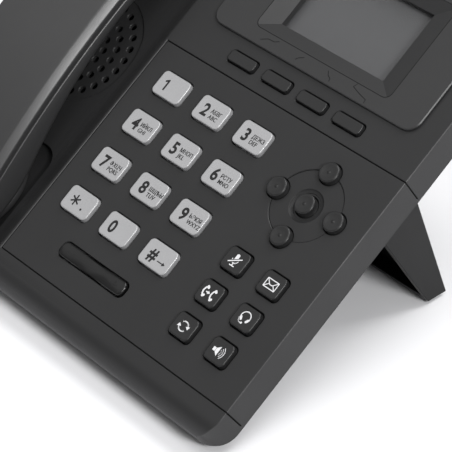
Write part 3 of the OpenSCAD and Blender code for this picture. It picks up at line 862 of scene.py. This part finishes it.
# %% A flat drawing that is laid on a surface
class Drawing:
    """Flat shapes in millimetres, kept as points and faces."""

    def __init__(self):
        self.points, self.faces = [], []

    def shape(self, points, faces=None):
        start = len(self.points)
        self.points += points
        faces = faces or [list(range(len(points)))]
        self.faces += [[start + k for k in face] for face in faces]

    def letters(self, text, x, y, height, squeeze=1.0, weight=0.0, spread=1.0):
        """Text with its left end at x and its baseline at y; returns its right end."""
        curve = bpy.data.curves.new("letters", "FONT")
        curve.body = text
        curve.size = height / 0.7
        curve.offset = weight
        curve.space_character = spread
        curve.resolution_u = 6
        item = bpy.data.objects.new("letters", curve)
        scene.collection.objects.link(item)
        bpy.context.view_layer.update()
        graph = bpy.context.evaluated_depsgraph_get()
        mesh = bpy.data.meshes.new_from_object(item.evaluated_get(graph))
        left = min(v.co.x for v in mesh.vertices)
        self.shape([(x + (v.co.x - left) * squeeze, y + v.co.y)
                    for v in mesh.vertices],
                   [list(face.vertices) for face in mesh.polygons])
        right = x + (max(v.co.x for v in mesh.vertices) - left) * squeeze
        bpy.data.objects.remove(item)
        bpy.data.curves.remove(curve)
        bpy.data.meshes.remove(mesh)
        return right

    def disc(self, x, y, radius, steps=20):
        self.shape([(x + radius * math.cos(math.tau * k / steps),
                     y + radius * math.sin(math.tau * k / steps))
                    for k in range(steps)])

    def stroke(self, points, width, closed=False, caps=True):
        """A line of even width through points, with round ends."""
        pairs = list(zip(points, points[1:] + points[:1] if closed else points[1:]))
        for (x0, y0), (x1, y1) in pairs:
            length = math.hypot(x1 - x0, y1 - y0) or 1.0
            a, b = -(y1 - y0) / length * width / 2, (x1 - x0) / length * width / 2
            self.shape([(x0 + a, y0 + b), (x0 - a, y0 - b),
                        (x1 - a, y1 - b), (x1 + a, y1 + b)])
        for x, y in points if caps else points[1:-1]:
            self.disc(x, y, width / 2, 12)

    def arc(self, x, y, radius, start, stop, width, steps=18, caps=True):
        """Part of a circle, from start to stop in degrees."""
        self.stroke([(x + radius * math.cos(math.radians(start + (stop - start) * k / steps)),
                      y + radius * math.sin(math.radians(start + (stop - start) * k / steps)))
                     for k in range(steps + 1)], width, caps=caps)

    def lay(self, name, middle, surface, material, body, scale=1.0, level=0.012):
        """Lays the drawing on a surface and puts it on a body."""
        work = bmesh.new()
        made = []
        for x, y in self.points:
            u, v = middle[0] + scale * x, middle[1] + scale * y
            made.append(work.verts.new(FACE @ Vector((u, v, surface(u, v) + level))))
        for face in self.faces:
            try:
                work.faces.new([made[k] for k in face])
            except ValueError:
                continue
        for face in work.faces:
            face.normal_update()
            if face.normal.dot(OUT) < 0:
                face.normal_flip()
        mesh = bpy.data.meshes.new(name)
        work.to_mesh(mesh)
        work.free()
        return add(name, mesh, material, body)


LETTERS = {"2": ("АБВГ", "ABC"), "3": ("ДЕЖЗ", "DEF"), "4": ("ИЙКЛ", "GHI"),
           "5": ("МНОП", "JKL"), "6": ("РСТУ", "MNO"), "7": ("ФХЦЧ", "PQRS"),
           "8": ("ШЩЪЫ", "TUV"), "9": ("ЬЭЮЯ", "WXYZ")}
MARKS = {"star": "*", "hash": "#"}
for node in NUMBER_KEYS:
    name = node[4:]
    middle, _, surface = caps[node]
    print_on = Drawing()
    mark = MARKS.get(name, name)
    if name == "star":
        for k in range(6):
            turn = math.radians(90 + 60 * k)
            print_on.stroke([(-1.8, 0.0), (-1.8 + 1.75 * math.cos(turn),
                                           1.75 * math.sin(turn))], 0.6)
        print_on.disc(2.3, -1.8, 0.42)
    elif name == "1":
        print_on.stroke([(-3.2, 1.0), (-2.2, 1.65), (-2.2, -2.0)], 0.7)
    else:
        print_on.letters(mark, -3.7, -2.3, 4.3, 0.9, 0.2)
    if name in LETTERS:
        cyrillic, latin = LETTERS[name]
        for shift in (0.0, 0.1):
            print_on.letters(cyrillic, shift - 0.1, -0.3, 1.5, 0.86, 0.012)
            print_on.letters(latin, shift + 0.2, -2.35, 1.5, 0.9, 0.012, 1.05)
    if name == "hash":
        print_on.stroke([(1.0, -1.3), (3.6, -1.3)], 0.36)
        print_on.shape([(3.3, -0.6), (3.3, -2.0), (4.5, -1.3)])
    print_on.lay(node + "_print", middle, surface, INK_BLACK, BODY_OF[node])
print("number keys printed")

# %% [markdown]
# The function keys carry white symbols, a few millimetres wide, drawn from strokes:
# microphone off, messages, transfer, headset, redial and loudspeaker.


# %% Symbols on the function keys
def microphone_off(d):
    d.stroke([(0.0, 0.45), (0.0, 1.95)], 1.5)
    d.arc(0.0, 0.3, 1.45, 185, 355, 0.42)
    d.stroke([(0.0, -1.2), (0.0, -2.1)], 0.42)
    d.stroke([(-1.0, -2.3), (1.0, -2.3)], 0.42)


def envelope(d):
    d.stroke([(-2.7, -1.75), (2.7, -1.75), (2.7, 1.75), (-2.7, 1.75)], 0.36, True)
    d.stroke([(-2.7, 1.75), (-0.6, -0.25), (0.6, -0.25), (2.7, 1.75)], 0.34)
    d.stroke([(-2.7, -1.75), (-0.9, 0.05)], 0.34)
    d.stroke([(2.7, -1.75), (0.9, 0.05)], 0.34)


def two_handsets(d):
    for x in (-3.0, 0.9):
        d.stroke([(x + 1.0, 2.0), (x + 0.3, 1.2), (x, 0.0), (x + 0.3, -1.2),
                  (x + 1.0, -2.0)], 0.62)
        for y in (-1, 1):
            d.stroke([(x + 0.95, 2.0 * y), (x + 1.35, 1.6 * y)], 1.0)
    d.stroke([(-1.5, 0.0), (-0.7, 0.0)], 0.5)
    d.shape([(-0.8, 0.75), (-0.8, -0.75), (0.25, 0.0)])


def headset(d):
    d.arc(0.0, 0.35, 2.15, -30, 210, 0.42)
    for side in (-1, 1):
        d.stroke([(side * 1.75, -0.25), (side * 1.3, -1.05)], 0.95)
    d.arc(-0.75, -0.75, 1.55, 185, 285, 0.36)
    d.disc(-0.2, -2.2, 0.42)


def round_arrows(d):
    for start in (20, 200):
        d.arc(0.0, 0.0, 1.95, start, start + 115, 0.5, caps=False)
        turn = math.radians(start)
        x, y = 1.95 * math.cos(turn), 1.95 * math.sin(turn)
        along = (math.sin(turn), -math.cos(turn))
        out = (math.cos(turn), math.sin(turn))
        d.shape([(x + 0.95 * out[0], y + 0.95 * out[1]),
                 (x - 0.95 * out[0], y - 0.95 * out[1]),
                 (x + 1.25 * along[0], y + 1.25 * along[1])])


def loudspeaker_on(d):
    d.shape([(-2.9, -0.75), (-1.7, -0.75), (-1.7, 0.75), (-2.9, 0.75)])
    d.shape([(-1.55, -0.75), (-0.05, -2.0), (-0.05, 2.0), (-1.55, 0.75)])
    for radius, spread in ((1.25, 42), (2.05, 46), (2.85, 48)):
        d.arc(-0.35, 0.0, radius, -spread, spread, 0.34)


SYMBOLS = dict(zip(FUNCTION_KEYS, (microphone_off, envelope, two_handsets, headset,
                                   round_arrows, loudspeaker_on)))
for node, draw in SYMBOLS.items():
    middle, _, surface = caps[node]
    print_on = Drawing()
    draw(print_on)
    print_on.lay(node + "_symbol", middle, surface, INK_WHITE, BODY_OF[node],
                 0.86)
middle, _, surface = caps["mute_key"]
for name, width, ink, level in (("mute_gap", 1.0, DARK_CAP, 0.02),
                                ("mute_slash", 0.42, INK_WHITE, 0.03)):
    slash = Drawing()
    slash.stroke([(-2.3, -1.4), (2.3, 1.4)], width)
    slash.lay(name, middle, surface, ink, BODY_OF["mute_key"], 0.9,
              level)
signs = Drawing()
signs.stroke([(-11.9, 0.0), (-9.7, 0.0)], 0.34)
signs.stroke([(9.7, 0.0), (11.9, 0.0)], 0.34)
signs.stroke([(10.8, -1.1), (10.8, 1.1)], 0.34)
signs.lay("volume_signs", volume_middle, volume_surface, INK_BLACK,
          BODY_OF["volume_rocker"])
print("symbols:", len(SYMBOLS))

# %% [markdown]
# ## The film on the display
# The display still wears its protective film. The film is clear and is not built; its outline round the sloping
# frame and a few creases where it has lifted from the bezel are drawn as near-black lines, painted shade for the
# dark lines that light leaves along them.

# %% Film outline and creases, drawn as painted shade
# Near-black ink laid on the bezel: painted shade for the film's edge and its creases.
FILM_SHADE_INK = ink_for_print_and_shade("film_edge_painted_shade", 0.003, 0.006)
CREASES = [[(16.9, 29.3), (19.4, 30.7), (22.1, 30.8), (23.6, 31.7)],
           [(33.2, 29.3), (34.0, 30.3), (35.6, 31.2)],
           [(46.6, 31.4), (47.5, 30.1), (49.0, 29.4), (49.1, 28.5)],
           [(58.7, 32.4), (58.1, 31.0), (61.4, 30.0), (64.9, 29.2), (65.0, 28.0)]]
FRAME_RIM = (60.5, 37.3)
screen_middle = centre("lcd_panel")
film = Drawing()
film.stroke([(screen_middle.x + a, screen_middle.y + b)
             for a, b in outline(*FRAME_RIM, 2.6)], 0.24, True, False)
for crease in CREASES:
    film.stroke(crease, 0.26)
bezel_top = extent("display_bezel")[1].z
film.lay("film_painted_shade_lines", (0.0, 0.0), lambda x, y: bezel_top, FILM_SHADE_INK,
         BODY_OF["display_bezel"])
print("creases:", len(CREASES))

# %% [markdown]
# ## The sheet under the phone
# The floor is a plain white sheet. A faint mottle in its colour and gloss keeps it from
# looking painted on.

# %% Floor
sheet_mesh = bpy.data.meshes.new("sheet")
sheet_mesh.from_pydata([(-3, -3, 0), (3, -3, 0), (3, 3, 0), (-3, 3, 0)], [],
                       [(0, 1, 2, 3)])
sheet = bpy.data.objects.new("sheet", sheet_mesh)
scene.collection.objects.link(sheet)
paper = Finish("white_sheet")
mottle = paper.noise(9.0, 3.0)
wear(sheet, paper.coat(Base_Color=paper.mix(mottle, grey(0.70), grey(0.73)),
                       Roughness=0.7 + 0.1 * mottle,
                       Normal=paper.bump(mottle, 0.05, 0.0005)))
